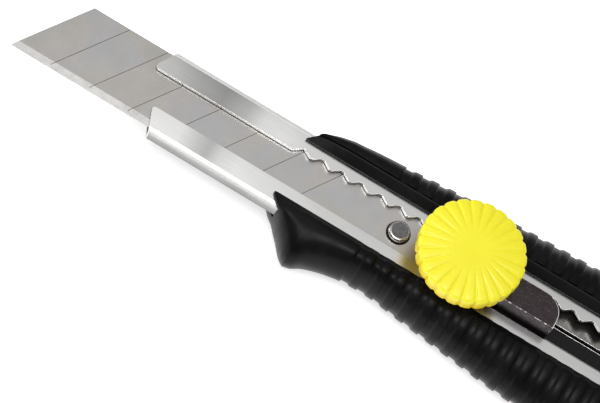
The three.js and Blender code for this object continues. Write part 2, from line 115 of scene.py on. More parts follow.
def paintFaces(piece, index, test):
    selectFaces(piece, test)
    piece.active_material_index = index
    bpy.ops.object.material_slot_assign()
    leaveEditMode()


def applyModifier(piece, kind, **settings):
    modifier = piece.modifiers.new(kind.title(), kind)
    for name, value in settings.items():
        setattr(modifier, name, value)
    pick(piece)
    bpy.ops.object.modifier_apply(modifier=modifier.name)


# A copy of a frame node with its loose triangles joined into clean faces.
def copyOf(node, name):
    piece = bpy.data.objects.new(name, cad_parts[node].data.copy())
    scene.collection.objects.link(piece)
    piece.data.materials.clear()
    editAll(piece)
    bpy.ops.mesh.customdata_custom_splitnormals_clear()
    bpy.ops.mesh.remove_doubles(threshold=0.003 * mm)
    bpy.ops.mesh.dissolve_limited(angle_limit=math.radians(0.4))
    leaveEditMode()
    return piece


def roundEdges(piece, width, segments=2, angle=35, edgeSlot=-1):
    applyModifier(piece, "BEVEL", width=width, segments=segments, limit_method="ANGLE",
                  angle_limit=math.radians(angle), use_clamp_overlap=True, material=edgeSlot)


def smoothBelow(piece, angle, flatFirst=False):
    pick(piece)
    bpy.ops.object.shade_smooth_by_angle(angle=math.radians(angle))
    if flatFirst:           # large flat faces keep their own normal and the rounds take the turn
        applyModifier(piece, "WEIGHTED_NORMAL", mode="FACE_AREA", weight=60, keep_sharp=True)


def addFinishes(piece, *names):
    for name in names:
        piece.data.materials.append(made[name])


def finishPiece(piece, body, slot, *nodes):
    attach(piece, body)
    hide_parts(*nodes)


# Finishes. A noise in object space is stretched along the grain and drives colour, gloss and bump.

def noiseOf(material, scale, stretch, detail, shift=0.0):
    nodes, links = material.node_tree.nodes, material.node_tree.links
    place = nodes.new("ShaderNodeTexCoord")
    mapping = nodes.new("ShaderNodeMapping")
    mapping.inputs["Scale"].default_value = stretch
    mapping.inputs["Location"].default_value = (shift, shift * 0.7, shift * 1.3)
    noise = nodes.new("ShaderNodeTexNoise")
    noise.inputs["Scale"].default_value = scale
    noise.inputs["Detail"].default_value = detail
    links.new(place.outputs["Object"], mapping.inputs["Vector"])
    links.new(mapping.outputs["Vector"], noise.inputs["Vector"])
    return noise.outputs["Fac"]


def rampOf(material, source, stops):
    nodes, links = material.node_tree.nodes, material.node_tree.links
    ramp = nodes.new("ShaderNodeValToRGB")
    bar = ramp.color_ramp
    while len(bar.elements) < len(stops):
        bar.elements.new(0.5)
    for element, (place, color) in zip(bar.elements, stops):
        element.position = place
        element.color = (*color, 1)
    links.new(source, ramp.inputs["Fac"])
    return ramp.outputs["Color"]


def rangeOf(material, source, fromLow, fromHigh, low, high):
    nodes, links = material.node_tree.nodes, material.node_tree.links
    node = nodes.new("ShaderNodeMapRange")
    links.new(source, node.inputs["Value"])
    for name, value in (("From Min", fromLow), ("From Max", fromHigh), ("To Min", low), ("To Max", high)):
        node.inputs[name].default_value = value
    return node.outputs["Result"]


def mixOf(material, share, first, second, blend="MIX"):
    nodes, links = material.node_tree.nodes, material.node_tree.links
    node = nodes.new("ShaderNodeMix")
    node.data_type = "RGBA"
    node.blend_type = blend
    if isinstance(share, (int, float)):
        node.inputs["Factor"].default_value = share
    else:
        links.new(share, node.inputs["Factor"])
    colorInputs = [s for s in node.inputs if s.type == "RGBA"]
    for socket, value in zip(colorInputs, (first, second)):
        if isinstance(value, tuple):
            socket.default_value = (*value, 1)
        else:
            links.new(value, socket)
    return [s for s in node.outputs if s.type == "RGBA"][0]


def placeOf(material, axis):
    nodes, links = material.node_tree.nodes, material.node_tree.links
    place = nodes.new("ShaderNodeTexCoord")
    apart = nodes.new("ShaderNodeSeparateXYZ")
    links.new(place.outputs["Object"], apart.inputs["Vector"])
    return apart.outputs[axis]


# A ramp over a place in millimetres along one axis of the piece.
def rampAlong(material, axis, stops):
    low, high = stops[0][0], stops[-1][0]
    along = rangeOf(material, placeOf(material, axis), low * mm, high * mm, 0, 1)
    return rampOf(material, along, [((place - low) / (high - low), level) for place, level in stops])


def bumpOf(material, source, strength, distance):
    nodes, links = material.node_tree.nodes, material.node_tree.links
    bump = nodes.new("ShaderNodeBump")
    bump.inputs["Strength"].default_value = strength
    bump.inputs["Distance"].default_value = distance
    links.new(source, bump.inputs["Height"])
    links.new(bump.outputs["Normal"], nodes["Principled BSDF"].inputs["Normal"])


brushedAlong = (0.03, 1, 1)         # the grain is drawn out along the axis with the small number
brushedAcross = (1, 0.03, 1)
plainGrain = (1, 1, 1)

# Shift of each noise, so that no two patterns lie on each other, and the part of its range in use.
noiseShift = {"fine": 3.1, "strokes": 5.3, "spots": 7.7, "gloss": 1.7}
noiseRange = {"broad": (0.34, 0.66), "fine": (0.3, 0.7), "strokes": (0.36, 0.64), "gloss": (0.32, 0.68)}
waxyDepth = (1.2 * mm, 0.9 * mm, 0.2 * mm)      # how deep light sinks into the yellow plastic


# A finish with broad colour variation, a fine grain in the colour and gloss, painted light and shade in
# bands, and a bump.
def finish(name, look):
    material = bpy.data.materials.new(name)
    material.use_nodes = True
    links = material.node_tree.links
    shader = material.node_tree.nodes["Principled BSDF"]
    shader.inputs["Metallic"].default_value = look.get("metallic", 0)
    shader.inputs["Specular IOR Level"].default_value = look.get("specular", 0.5)
    if "glow" in look:
        shader.inputs["Subsurface Weight"].default_value = look["glow"]
        shader.inputs["Subsurface Radius"].default_value = waxyDepth
        shader.inputs["Subsurface Scale"].default_value = 1.0
    patchStretch = look.get("patchStretch", plainGrain)
    broad = noiseOf(material, look["patch"], patchStretch, 3)
    color = rampOf(material, rangeOf(material, broad, *noiseRange["broad"], 0, 1),
                   [(i / (len(look["colors"]) - 1), c) for i, c in enumerate(look["colors"])])
    fine = noiseOf(material, look["grain"], look.get("grainStretch", plainGrain), 6, noiseShift["fine"])
    dark, light = 1 - look["grainDepth"], 1 + look["grainDepth"] * 0.5
    shade = rangeOf(material, fine, *noiseRange["fine"], dark, light)
    color = mixOf(material, 1.0, color, shade, "MULTIPLY")
    # painted light and shade: each band multiplies the colour by levels along an axis of the piece
    for axis, across, stops in look.get("paintedLightBands", ()):
        share = rampAlong(material, 1, across) if across else 1.0
        color = mixOf(material, share, color, rampAlong(material, axis, stops), "MULTIPLY")
    if "cross" in look:
        scale, depth, under = look["cross"]
        strokes = noiseOf(material, scale, brushedAcross, 6, noiseShift["strokes"])
        strokes = rangeOf(material, strokes, *noiseRange["strokes"], 1 - depth, 1 + depth * 0.4)
        share = rangeOf(material, placeOf(material, 2), under * mm, (under + 0.3) * mm, 1, 0)
        color = mixOf(material, share, color, strokes, "MULTIPLY")
    if "specks" in look:
        size, level, speck = look["specks"]
        spots = noiseOf(material, size, plainGrain, 2, noiseShift["spots"])
        color = mixOf(material, rangeOf(material, spots, level, level + 0.06, 0, 1), color, speck)
    links.new(color, shader.inputs["Base Color"])
    gloss = noiseOf(material, look["patch"] * 3.3, patchStretch, 6, noiseShift["gloss"])
    low, high = look["roughness"]
    links.new(rangeOf(material, gloss, *noiseRange["gloss"], low, high), shader.inputs["Roughness"])
    bumpOf(material, fine, look["bump"], look["bumpDepth"])
    return material


def greys(*stops):
    return [(place, (level, level, level)) for place, level in stops]


# Bands are painted light and shade: they darken a finish by place in millimetres: axis, where across the
# piece the band holds, and levels.
spineLip = greys((-0.2, 1), (0.2, 0))
edgeLip = greys((-0.2, 0), (0.2, 1))
# painted reflection: the lips lighter and darker along the channel, where the studio would mirror in them
spineLipPaintedReflection = greys((-75, 0.66), (0, 0.70), (30, 0.78), (42, 0.86), (49, 1), (54, 0.96), (58, 0.62),
                       (64, 0.42), (70, 0.52), (76, 0.68), (80, 0.74))
edgeLipPaintedReflection = greys((-75, 0.66), (0, 0.72), (34, 0.80), (44, 0.92), (54, 1), (58, 0.86), (61, 0.58),
                      (64, 0.72), (68, 0.98), (80, 1))
# painted shade: the channel darker the deeper it lies, near black in the groove, with a brown tone on its
# floor
channelDepthPaintedShade = [*greys((6.5, 0.03), (7.9, 0.04)), (8.4, (0.32, 0.30, 0.29)), (8.8, (0.50, 0.475, 0.46)),
                      *greys((10.2, 0.46), (11.2, 0.88), (12.1, 1))]
# painted light and shade on the bends: light along the top of each bend, darker down the side walls
edgeBendPaintedLight = greys((6.5, 0.10), (8.6, 0.20), (9.6, 0.34), (10.8, 0.42), (11.25, 0.62), (11.5, 0.95),
                       (12.1, 1))
spineBendPaintedLight = greys((6.5, 0.10), (8.6, 0.30), (10.6, 0.6), (11.2, 1), (12.1, 1))
# painted shade: the lower part of the wheel darker and more orange than its top
wheelRimPaintedShade = [(15.5, (0.9, 0.66, 0.3)), (20.5, (0.98, 0.84, 0.6)), *greys((22.0, 1), (23.6, 1))]

finishes = {
    "bladeSatin": dict(
        metallic=1,
        colors=[(0.50, 0.487, 0.46), (0.54, 0.517, 0.492), (0.515, 0.51, 0.515), (0.53, 0.51, 0.48)],
        patch=70, grain=5200, grainStretch=(0.25, 1, 1), grainDepth=0.05, roughness=(0.3, 0.4),
        bump=0.05, bumpDepth=0.02 * mm),
    "bladeGround": dict(
        metallic=1, colors=[(0.47, 0.465, 0.455), (0.56, 0.55, 0.535)],
        patch=160, grain=7000, grainStretch=(1, 0.04, 1), grainDepth=0.07, roughness=(0.26, 0.36),
        bump=0.06, bumpDepth=0.02 * mm),
    # painted shade in the score grooves, which makes the dark score lines
    "bladeScorePaintedShade": dict(
        metallic=1, colors=[(0.16, 0.14, 0.125), (0.25, 0.22, 0.20)],
        patch=260, grain=5000, grainDepth=0.2, roughness=(0.45, 0.6), bump=0.1, bumpDepth=0.02 * mm),
    "channelSteel": dict(
        metallic=1, colors=[(0.90, 0.90, 0.89), (0.95, 0.945, 0.93), (0.98, 0.975, 0.96)],
        patch=45, patchStretch=(0.6, 1, 1), grain=5200, grainStretch=brushedAlong, grainDepth=0.06,
        roughness=(0.2, 0.3), bump=0.06, bumpDepth=0.02 * mm, cross=(5200, 0.3, 9.2),
        paintedLightBands=[(0, spineLip, spineLipPaintedReflection), (0, edgeLip, edgeLipPaintedReflection), (2, None, channelDepthPaintedShade)]),
    # painted light and shade on the bends, from the two bend bands
    "channelBendPaintedLight": dict(
        metallic=1, colors=[(0.93, 0.93, 0.92), (0.98, 0.975, 0.965)],
        patch=45, grain=5200, grainStretch=brushedAlong, grainDepth=0.05, roughness=(0.55, 0.65),
        bump=0.03, bumpDepth=0.02 * mm,
        paintedLightBands=[(2, edgeLip, edgeBendPaintedLight), (2, spineLip, spineBendPaintedLight)]),
    # painted glint: bright steel for the rounded edges, the tooth faces turned to the light and the cover's
    # rear corner
    "glintSteel": dict(
        metallic=1, colors=[(0.97, 0.965, 0.95), (1.0, 1.0, 0.99)],
        patch=220, grain=900, grainStretch=brushedAlong, grainDepth=0.02, roughness=(0.34, 0.42),
        bump=0.01, bumpDepth=0.01 * mm),
    # painted shade on the tooth faces turned away from the light
    "toothPaintedShade": dict(
        metallic=1, colors=[(0.20, 0.195, 0.19), (0.30, 0.29, 0.28)],
        patch=220, grain=900, grainStretch=brushedAlong, grainDepth=0.05, roughness=(0.4, 0.5),
        bump=0.01, bumpDepth=0.01 * mm),
    "coverSteel": dict(
        metallic=1, colors=[(0.046, 0.036, 0.039), (0.066, 0.053, 0.056), (0.054, 0.045, 0.050)],
        patch=210, grain=2600, grainDepth=0.3, roughness=(0.34, 0.5), bump=0.12, bumpDepth=0.02 * mm,
        specks=(4200, 0.66, (0.24, 0.20, 0.20))),
    # the cover's rounded edges: worn in patches, and light enough to paint in the highlight line along them
    "coverEdgeWearAndHighlight": dict(
        metallic=1, colors=[(0.05, 0.04, 0.042), (0.12, 0.10, 0.10), (0.52, 0.48, 0.48)],
        patch=1500, grain=5200, grainDepth=0.3, roughness=(0.24, 0.4), bump=0.08, bumpDepth=0.02 * mm),
    # painted highlight: bright steel for the side and rounded rim of the pin
    "pinRimHighlight": dict(
        metallic=1, colors=[(0.60, 0.57, 0.57), (0.85, 0.82, 0.81), (0.50, 0.47, 0.48)],
        patch=900, grain=5200, grainDepth=0.3, roughness=(0.18, 0.34), bump=0.08, bumpDepth=0.02 * mm),
    "pinSteel": dict(
        metallic=1, colors=[(0.13, 0.13, 0.135), (0.19, 0.19, 0.195), (0.15, 0.155, 0.16)],
        patch=420, grain=2400, grainDepth=0.35, roughness=(0.3, 0.42), bump=0.2, bumpDepth=0.03 * mm,
        specks=(3000, 0.64, (0.32, 0.32, 0.32))),
    "zincSteel": dict(
        metallic=1, colors=[(0.50, 0.51, 0.52), (0.62, 0.62, 0.61), (0.56, 0.56, 0.58)],
        patch=240, grain=3000, grainDepth=0.12, roughness=(0.28, 0.42), bump=0.1, bumpDepth=0.02 * mm),
    "springSteel": dict(
        metallic=1, colors=[(0.34, 0.35, 0.37), (0.44, 0.44, 0.45)],
        patch=300, grain=3600, grainDepth=0.15, roughness=(0.2, 0.32), bump=0.06, bumpDepth=0.02 * mm),
    "turnedBrass": dict(
        metallic=1, colors=[(0.62, 0.43, 0.15), (0.74, 0.54, 0.22)],
        patch=260, grain=3600, grainStretch=(1, 1, 0.1), grainDepth=0.12, roughness=(0.22, 0.36),
        bump=0.08, bumpDepth=0.02 * mm),
    "hardPlastic": dict(
        colors=[(0.0045, 0.0045, 0.005), (0.008, 0.008, 0.0085)], specular=0.10,
        patch=90, grain=2600, grainDepth=0.25, roughness=(0.34, 0.46), bump=0.10, bumpDepth=0.03 * mm),
    "softRubber": dict(
        colors=[(0.0035, 0.0035, 0.004), (0.0055, 0.0055, 0.006), (0.009, 0.009, 0.0095)], specular=0.10,
        patch=120, grain=1900, grainDepth=0.35, roughness=(0.27, 0.38), bump=0.28, bumpDepth=0.04 * mm),
    "wheelPlastic": dict(
        colors=[(0.93, 0.84, 0.022), (0.96, 0.88, 0.03)], specular=0.5, glow=0.12,
        patch=110, grain=2200, grainDepth=0.03, roughness=(0.3, 0.42), bump=0.06, bumpDepth=0.02 * mm,
        paintedLightBands=[(2, None, wheelRimPaintedShade)]),
}
made = {name: finish(name, look) for name, look in finishes.items()}
print("finishes ready:", len(made))


# Handle: the outer skin follows stations behind the handle's front, and the ribs are sunk into it.

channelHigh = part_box("steel_channel")[1]
gripLow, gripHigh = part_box("edge_grip")
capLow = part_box("tail_cap")[0]
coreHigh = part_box("handle_core")[1]

handleShape = {
    "front": gripHigh.x / mm, "rear": capLow.x / mm, "gripRear": gripLow.x / mm,
    "channelHalf": channelHigh.y / mm, "lipTop": channelHigh.z / mm, "top": gripHigh.z / mm,
    "coreHalf": coreHigh.y / mm,
    "wideLine": 7.2,            # height of the widest line of the flanks
    "gap": 0.3,                 # room between a grip and what it sits on
    "openSpine": 7.5, "openEdge": 7.1, "railWidth": 2.1, "railStep": 0.8,
    "channelPlay": 0.03, "channelUnder": 7.6, "coreUnder": 1.9, "sideFrom": 9.15,
    "coreBehindEdge": 6.2, "coreBehindSpine": 9,
    "frontStep": 0.6, "leastStep": 0.02,        # from section to section in front of the ribs, and at least
    "crease": 9.5,              # the finger guard is sharp along this station
    "ribFront": 22.2, "ribPitch": 4.05, "ribHollow": 1.9, "ribDepth": 0.42, "ribCount": 22,
    "ribWall": 0.15, "ribRamp": 0.45,
    # distance behind the front, reach of the spine flank and of the edge flank, drop of the top
    "stations": [
        (0, -2.4, -2.7, 1.6), (1.6, -0.9, -0.7, 1.2), (3, 0.9, 0.6, 0.8), (4.2, 1.8, 2.1, 0.5),
        (6.2, 3.1, 4.4, 0.3), (8.2, 3.8, 6.8, 0.1), (9.5, 4.2, 7.8, 0), (11.2, 4.4, 7.4, 0),
        (13.2, 4.7, 6.1, 0), (15.2, 5.0, 5.3, 0), (18.2, 5.3, 4.4, 0), (22.2, 5.7, 3.7, 0),
        (27.2, 6.2, 3.5, 0), (36.2, 7.1, 4.5, 0), (49.2, 7.9, 6.0, 0), (63.2, 8.6, 7.5, 0),
        (80.37, 9.1, 8.3, 0), (98.53, 8.6, 8.0, 0), (112.2, 7.3, 6.8, 0), (119.2, 6.3, 5.8, 0.2),
    ],
}


def stationAt(shape, x):
    stations = shape["stations"]
    along = shape["front"] - x
    last = len(stations) - 1
    k = max(i for i in range(last) if i == 0 or stations[i][0] <= along)
    here, there = stations[k], stations[k + 1]
    length = there[0] - here[0]
    t = min(max((along - here[0]) / length, 0), 1)

    def slope(i, column):
        return (stations[i + 1][column] - stations[i][column]) / (stations[i + 1][0] - stations[i][0])

    def tangent(i, column):
        if i in (0, last) or stations[i][0] == shape["crease"]:
            return slope(k, column)
        before, after = slope(i - 1, column), slope(i, column)
        return 0 if before * after <= 0 else 2 * before * after / (before + after)

    values = []
    for column in (1, 2, 3):
        a, b = here[column], there[column]
        m0, m1 = tangent(k, column) * length, tangent(k + 1, column) * length
        values.append((2 * t ** 3 - 3 * t ** 2 + 1) * a + (t ** 3 - 2 * t ** 2 + t) * m0
                      + (3 * t ** 2 - 2 * t ** 3) * b + (t ** 3 - t ** 2) * m1)
    return values


def easeStep(value):
    t = min(max(value, 0), 1)
    return t * t * (3 - 2 * t)


def hollowAt(shape, x):
    depth = 0
    wall, ramp = shape["ribWall"], shape["ribRamp"]
    for k in range(shape["ribCount"]):
        start = shape["ribFront"] - k * shape["ribPitch"]
        inside = easeStep((start + wall - x) / (2 * wall))
        beyond = easeStep((start - shape["ribHollow"] + ramp - x) / (2 * ramp))
        depth = max(depth, inside - beyond)
    return depth * shape["ribDepth"]


# One flank of the section, from the slot round to the flat back: points and the way a rib sinks there.
def flankSection(shape, half, inner, top, hollow, steps=12):
    dip = shape["lipTop"] + shape["gap"]
    crown = min(inner + 3, half - 0.3)
    foot = min(6, half / 2)
    slope = min(inner + 1.7, half - 0.5)
    start = min(inner, half - 0.8)
    rise = min(dip + 0.5, top - 0.2)
    wide = shape["wideLine"]
    shoulder = start + (slope - start) * 0.88
    points = [(start, dip, 0, 0), (start, rise, 0, -0.35), (shoulder, top - 0.32, 0.3, -0.9),
              (slope, top - 0.1, 0, -1), ((slope + crown) / 2, top - 0.02, 0, -1)]
    for i in range(steps + 1):
        t = math.radians(90 - 90 * i / steps)
        ny, nz = math.cos(t) / (half - crown), math.sin(t) / (top - wide)
        size = math.hypot(ny, nz)
        points.append((crown + (half - crown) * math.cos(t), wide + (top - wide) * math.sin(t),
                       -ny / size, -nz / size))
    for i in range(1, steps + 1):
        t = math.radians(-90 * i / steps)
        ny, nz = math.cos(t) / foot, math.sin(t) / wide
        size = math.hypot(ny, nz)
        z = wide + wide * math.sin(t)
        share = easeStep(z / 2.5)
        points.append((half - foot + foot * math.cos(t), z, -ny / size * share, -nz / size * share))
    return [(y + sinkY * hollow, z + sinkZ * hollow) for y, z, sinkY, sinkZ in points]


def skinSection(shape, x):
    spine, edge, drop = stationAt(shape, x)
    hollow = hollowAt(shape, x)
    half, top = shape["channelHalf"], shape["top"] - drop
    right = flankSection(shape, half + edge, shape["openEdge"], top, hollow)
    left = flankSection(shape, half + spine, shape["openSpine"], top, hollow)
    return [(x, y, z) for y, z in right] + [(x, -y, z) for y, z in reversed(left)]


def skinPlaces(shape):
    front, rib = shape["front"], shape["ribFront"]
    step = shape["frontStep"]
    places = {front - step * i for i in range(int((front - rib) / step))}
    places |= {front - s[0] for s in shape["stations"] if front - s[0] > shape["rear"]}
    for k in range(shape["ribCount"]):
        start = rib - k * shape["ribPitch"]
        for edge, wall in ((start, shape["ribWall"]), (start - shape["ribHollow"], shape["ribRamp"])):
            places |= {edge + wall * f for f in (-1, -0.5, 0, 0.5, 1)}
    places.add(shape["gripRear"] - 0.5)         # past the end, where the skin is cut off square
    ordered = sorted(places)
    return [x for i, x in enumerate(ordered) if i == 0 or x - ordered[i - 1] > shape["leastStep"]]


def skinOf(shape, name):
    loops = [skinSection(shape, x) for x in skinPlaces(shape)]
    count = len(loops[0])
    faces = []
    for k in range(len(loops) - 1):
        for i in range(count):
            here, beside = k * count + i, k * count + (i + 1) % count
            faces.append((here, here + count, beside + count, beside))
    faces.append(tuple(range(count)))
    faces.append(tuple(reversed(range((len(loops) - 1) * count, len(loops) * count))))
    mesh = bpy.data.meshes.new(name)
    mesh.from_pydata([[c * mm for c in point] for loop in loops for point in loop], [], faces)
    piece = bpy.data.objects.new(name, mesh)
    scene.collection.objects.link(piece)
    editAll(piece)
    bpy.ops.mesh.normals_make_consistent(inside=False)
    leaveEditMode()
    return piece


# A section in Y and Z, drawn out along X, used as a cutter.
def barCutter(points, rear, front):
    mesh = bpy.data.meshes.new("cutter")
    mesh.from_pydata([(rear * mm, y * mm, z * mm) for y, z in points], [], [tuple(range(len(points)))])
    cutter = bpy.data.objects.new("cutter", mesh)
    scene.collection.objects.link(cutter)
    editAll(cutter)
    bpy.ops.mesh.extrude_region_move(TRANSFORM_OT_translate={"value": ((front - rear) * mm, 0, 0)})
    bpy.ops.mesh.select_all(action="SELECT")
    bpy.ops.mesh.normals_make_consistent(inside=False)
    leaveEditMode()
    return cutter


def cutWith(piece, cutter, operation):
    applyModifier(piece, "BOOLEAN", object=cutter, operation=operation, solver="EXACT")
    bpy.data.objects.remove(cutter)


# A grip is the skin less the channel's side, the slot and the core that it sits on.
def buildGrip(shape, side, name):
    piece = skinOf(shape, name)
    gap, low, beyond = shape["gap"], shape["sideFrom"], 40
    wide, under = shape["channelHalf"] + shape["channelPlay"], shape["channelUnder"]
    lip = shape["lipTop"] + gap
    inner = shape["openEdge"] if side > 0 else shape["openSpine"] + shape["railWidth"] + gap
    keep = [(low, -1), (low, under), (wide, under), (wide, lip), (inner, lip), (inner, beyond),
            (beyond, beyond), (beyond, -1)]
    kept = barCutter([(y * side, z) for y, z in keep], shape["gripRear"], shape["front"] + 5)
    cutWith(piece, kept, "INTERSECT")
    coreTop = lip if side > 0 else lip + shape["railStep"] + gap
    coreFront = shape["front"] - (shape["coreBehindEdge"] if side > 0 else shape["coreBehindSpine"])
    coreSide, coreUnder = shape["coreHalf"] + gap, shape["coreUnder"]
    core = [(low - 1, coreUnder), (coreSide, coreUnder), (coreSide, coreTop), (low - 1, coreTop)]
    room = barCutter([(y * side, z) for y, z in core], shape["gripRear"] - 5, coreFront)
    cutWith(piece, room, "DIFFERENCE")
    editAll(piece)
    bpy.ops.mesh.remove_doubles(threshold=0.004 * mm)
    leaveEditMode()
    smoothBelow(piece, 42)
    return piece


for side, name, node in ((-1, "ribbedSpineGrip", "spine_grip"), (1, "ribbedEdgeGrip", "edge_grip")):
    grip = buildGrip(handleShape, side, name)
    addFinishes(grip, "softRubber")
    finishPiece(grip, "handle", "soft_black", node)
    print("grip ready:", name, len(grip.data.polygons))

mouldedEdges = {"core": 0.12 * mm, "pad": 0.25 * mm, "cap": 0.2 * mm}


def roundedCopy(node, name, width, finishName, body, slot):
    piece = copyOf(node, name)
    roundEdges(piece, width, 2, 38)
    smoothBelow(piece, 40, flatFirst=True)
    addFinishes(piece, finishName)
    finishPiece(piece, body, slot, node)


roundedCopy("handle_core", "handleCore", mouldedEdges["core"], "hardPlastic", "handle", "hard_black")
roundedCopy("back_pad", "backPad", mouldedEdges["pad"], "softRubber", "handle", "soft_black")
roundedCopy("tail_cap", "tailCap", mouldedEdges["cap"], "hardPlastic", "tail", "hard_black")
print("core, pad and cap ready")


# Steel channel: satin sheet, rounded edges, painted glint and shade on the teeth, and painted light and shade
# on the bends

bladeLow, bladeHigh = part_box("snap_blade")
channelShape = {
    "edgeRound": 0.24 * mm, "bend": 1.5 * mm,
    "lipFrom": bladeLow.z + 1.0 * mm,
    "teethFrom": -7 * mm, "teethTo": -3 * mm,       # reach of the teeth across the channel
    "glint": 0.25,          # tooth faces turned this far to the front catch the light
}


def onTooth(centre, normal):
    across = channelShape["teethFrom"] < centre.y < channelShape["teethTo"]
    return across and centre.z > channelShape["lipFrom"] and centre.x < gripHigh.x and normal.y > 0.2


# painted shade on tooth faces turned away from the front, and a painted glint on those turned to it
def toothInShade(centre, normal):
    return onTooth(centre, normal) and normal.x < channelShape["glint"] and normal.z < 0.75


def toothInLight(centre, normal):
    return onTooth(centre, normal) and normal.x > channelShape["glint"] and abs(normal.z) < 0.95


def onBend(centre, normal):
    outside = abs(centre.y) > channelHigh.y - channelShape["bend"]
    return outside and abs(normal.x) < 0.3 and normal.y * centre.y > 0.1 * abs(centre.y) and normal.z > -0.95


channel = copyOf("steel_channel", "steelChannel")
addFinishes(channel, "channelSteel", "glintSteel", "toothPaintedShade", "channelBendPaintedLight")
# the rounded edges and the teeth in light take the painted glint, the teeth turned away take painted shade,
# and the bends their painted light and shade
roundEdges(channel, channelShape["edgeRound"], 2, 50, edgeSlot=1)
paintFaces(channel, 2, toothInShade)
paintFaces(channel, 1, toothInLight)
paintFaces(channel, 3, onBend)
smoothBelow(channel, 40, flatFirst=True)
finishPiece(channel, "handle", "stainless", "steel_channel")


# Blade: satin faces, a ground bevel along the cutting edge and dark score lines, painted as shade in their
# grooves

bladeShape = {"bevel": 1.69 * mm, "scoreUnder": 0.03 * mm, "scoreDeep": 0.2 * mm, "scoresFrom": 20 * mm}


def onGroundBevel(centre, normal):
    return centre.y > bladeHigh.y - bladeShape["bevel"] and 0.5 < abs(normal.z) < 0.9999


def inScore(centre, normal):
    under = bladeHigh.z - centre.z
    inDepth = bladeShape["scoreUnder"] < under < bladeShape["scoreDeep"]
    facing = normal.z > 0.9999 or abs(normal.z) < 0.1
    return inDepth and facing and centre.x > bladeLow.x + bladeShape["scoresFrom"]


blade = copyOf("snap_blade", "snapBlade")
addFinishes(blade, "bladeSatin", "bladeGround", "bladeScorePaintedShade")
paintFaces(blade, 1, onGroundBevel)
# the score grooves take the painted shade
paintFaces(blade, 2, inScore)
smoothBelow(blade, 4)
finishPiece(blade, "slider", "blade_steel", "snap_blade")
print("channel and blade ready")


# Slider: dark cover with worn edges that also carry a painted highlight line, a painted highlight on its rear
# corner, and the blade's pin with a painted highlight on its rim

coverLow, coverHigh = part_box("slider_cover")
coverShape = {"edgeRound": 0.22 * mm, "corner": 4.7 * mm, "topBand": 1.5 * mm}
pinShape = {"edgeRound": 0.22 * mm}


def onRearCorner(centre, normal):
    atRear = centre.x < coverLow.x + coverShape["corner"] and centre.z > coverHigh.z - coverShape["topBand"]
    return atRear and normal.x < -0.12 and 0.05 < abs(normal.z) < 0.97


cover = copyOf("slider_cover", "sliderCover")
addFinishes(cover, "coverSteel", "coverEdgeWearAndHighlight", "glintSteel")
roundEdges(cover, coverShape["edgeRound"], 2, 50, edgeSlot=1)
# painted highlight: the rounded rear corner of the top takes the bright glint steel
paintFaces(cover, 2, onRearCorner)
smoothBelow(cover, 40, flatFirst=True)
finishPiece(cover, "slider", "blackened_steel", "slider_cover")

pin = copyOf("blade_pin", "bladePin")
addFinishes(pin, "pinSteel", "pinRimHighlight")
roundEdges(pin, pinShape["edgeRound"], 3, 30, edgeSlot=1)
# painted highlight: the pin's side and rim take the bright steel, for the crescent of light on it
paintFaces(pin, 1, lambda centre, normal: abs(normal.z) < 0.95)
smoothBelow(pin, 40, flatFirst=True)
finishPiece(pin, "slider", "blackened_steel", "blade_pin")
print("cover and pin ready")


# Lock wheel: a turned blank drawn up ring by ring, then its flutes are pressed in.

wheelLow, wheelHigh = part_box("lock_wheel")
wheelShape = {
    "flutes": 24, "perFlute": 8, "depth": 0.55 * mm, "topDepth": 0.5 * mm, "sharpness": 3.2,
    "hub": 5.4 * mm, "rimUnder": 2.65 * mm,
    "middle": 0.45,         # the top's middle ring, as a share of the last one drawn
    "topBand": 1.0, "crownBand": 0.4,       # flutes sink above the first, and only sink above the second
    "insertRoom": 4.3 * mm, "insertDeep": 5.0 * mm, "studRoom": 2.7 * mm, "studDeep": 0.9 * mm,
    # radius inside the rim, height under the top, share of the flute's depth
    "rings": [(0.9, 5.05, 0.5), (0.25, 4.8, 0.9), (0, 4.25, 1), (0, 1.5, 1), (0.1, 1.15, 1), (0.35, 0.86, 1),
              (0.85, 0.64, 1), (1.9, 0.44, 0.95), (3.4, 0.26, 0.8), (5.2, 0.1, 0.4), (6.9, 0, 0)],
}


